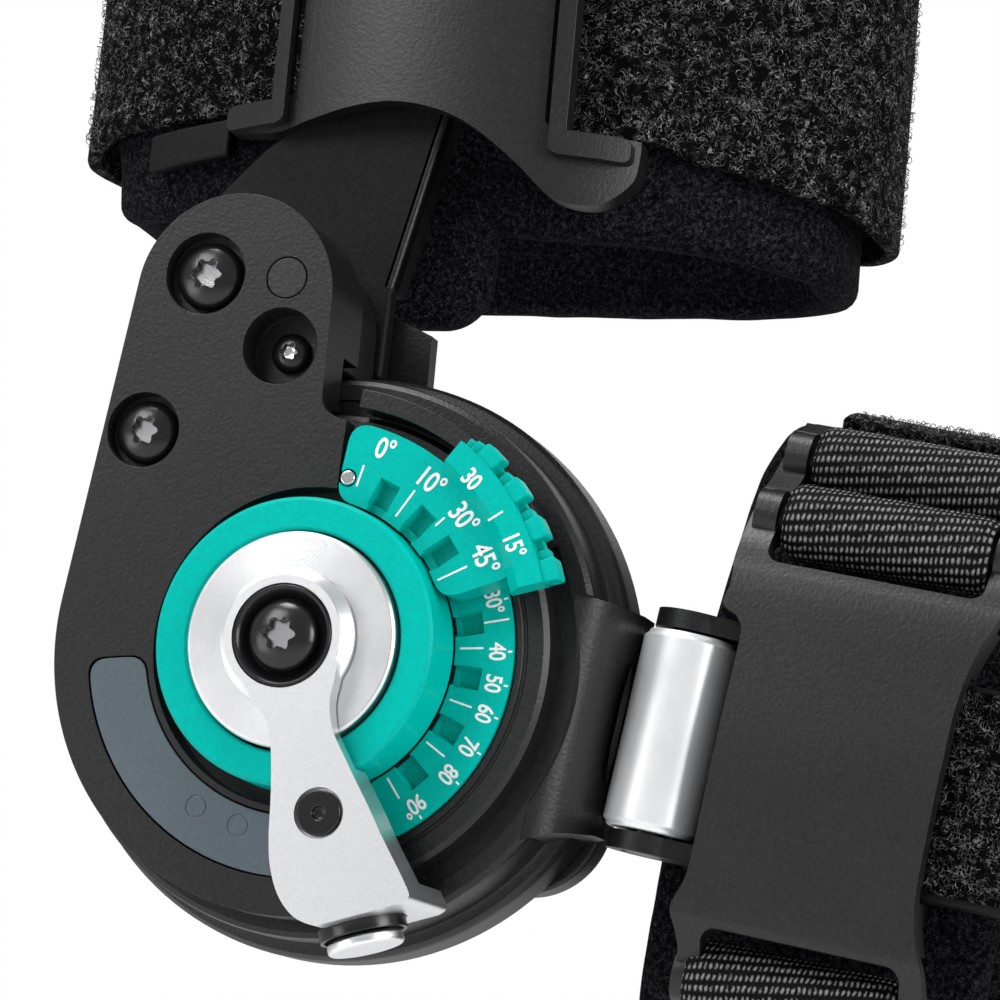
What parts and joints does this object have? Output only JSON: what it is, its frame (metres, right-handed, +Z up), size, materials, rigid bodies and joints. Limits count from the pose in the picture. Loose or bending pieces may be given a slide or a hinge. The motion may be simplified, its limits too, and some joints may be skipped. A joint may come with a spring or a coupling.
{
  "type": "elbow brace",
  "caption": "Hinged elbow brace with an upper arm cuff, a stop dial with a lock lever, a swivel barrel and a forearm cuff.",
  "frame": {"origin": "middle of the upper arm cuff's hollow", "axes": "+Z up along the upper arm, +X forward to the forearm, hinge's face towards -Y"},
  "size_m": [0.1582, 0.0882, 0.1905],
  "materials": {
    "black_plastic": "fine grained black",
    "teal_plastic": "satin teal",
    "slate_plastic": "glossy slate grey",
    "silver_metal": "bead blasted and turned",
    "dark_steel": "blackened",
    "webbing": "woven black",
    "pad_cloth": "short black pile"
  },
  "bodies": {
    "upper": {"front_cover": "black_plastic", "cover_screw_upper": "dark_steel", "cover_screw_lower": "dark_steel", "cover_screw_deep": "dark_steel", "cover_plug": "black_plastic", "slate_insert": "slate_plastic", "cover_block": "black_plastic", "dial_rim": "black_plastic", "silver_disc": "silver_metal", "teal_ring": "teal_plastic", "dial_carrier": "black_plastic", "pivot_dish": "dark_steel", "pivot_screw": "dark_steel", "upper_bar": "black_plastic", "hinge_back_plate": "black_plastic", "upper_shell": "black_plastic", "side_bar_front": "black_plastic", "side_bar_rear": "black_plastic", "upper_strap": "webbing", "upper_pad": "pad_cloth"},
    "link": {"link_arm": "black_plastic", "link_back_plate": "black_plastic", "barrel": "silver_metal", "barrel_pin": "dark_steel", "lower_dial": "teal_plastic"},
    "stop": {"stop_dial": "teal_plastic", "stop_pin": "silver_metal"},
    "lever": {"lever": "silver_metal", "lever_screw": "dark_steel", "button_collar": "dark_steel"},
    "button": {"lever_button": "silver_metal"},
    "cuff": {"forearm_bar": "black_plastic", "bar_fabric": "webbing", "forearm_shell": "black_plastic", "elastic_upper_front": "webbing", "elastic_upper_rear": "webbing", "elastic_lower": "webbing", "forearm_strap": "webbing", "forearm_pad": "pad_cloth"}
  },
  "joints": [
    {"name": "elbow_hinge", "type": "hinge", "parent": "upper", "child": "link", "pos_m": [-0.002, -0.0567, -0.09475], "axis": [0, 1, 0], "range_deg": [-8.35, 81.65]},
    {"name": "cuff_swivel", "type": "hinge", "parent": "link", "child": "cuff", "pos_m": [0.03748, -0.0337, -0.10054], "axis": [0.1452, 0, 0.9894], "range_deg": [-10, 10]},
    {"name": "lever_swing", "type": "hinge", "parent": "upper", "child": "lever", "pos_m": [-0.002, -0.0567, -0.09475], "axis": [0, 1, 0], "range_deg": [0, 75]},
    {"name": "button_press", "type": "slide", "parent": "lever", "child": "button", "axis": [-0.309, 0, 0.9511], "range_m": [0, 0.0012], "stiffness_N_per_m": 500},
    {"name": "stop_swing", "type": "hinge", "parent": "upper", "child": "stop", "pos_m": [-0.002, -0.0567, -0.09475], "axis": [0, 1, 0], "range_deg": [0, 45]}
  ]
}
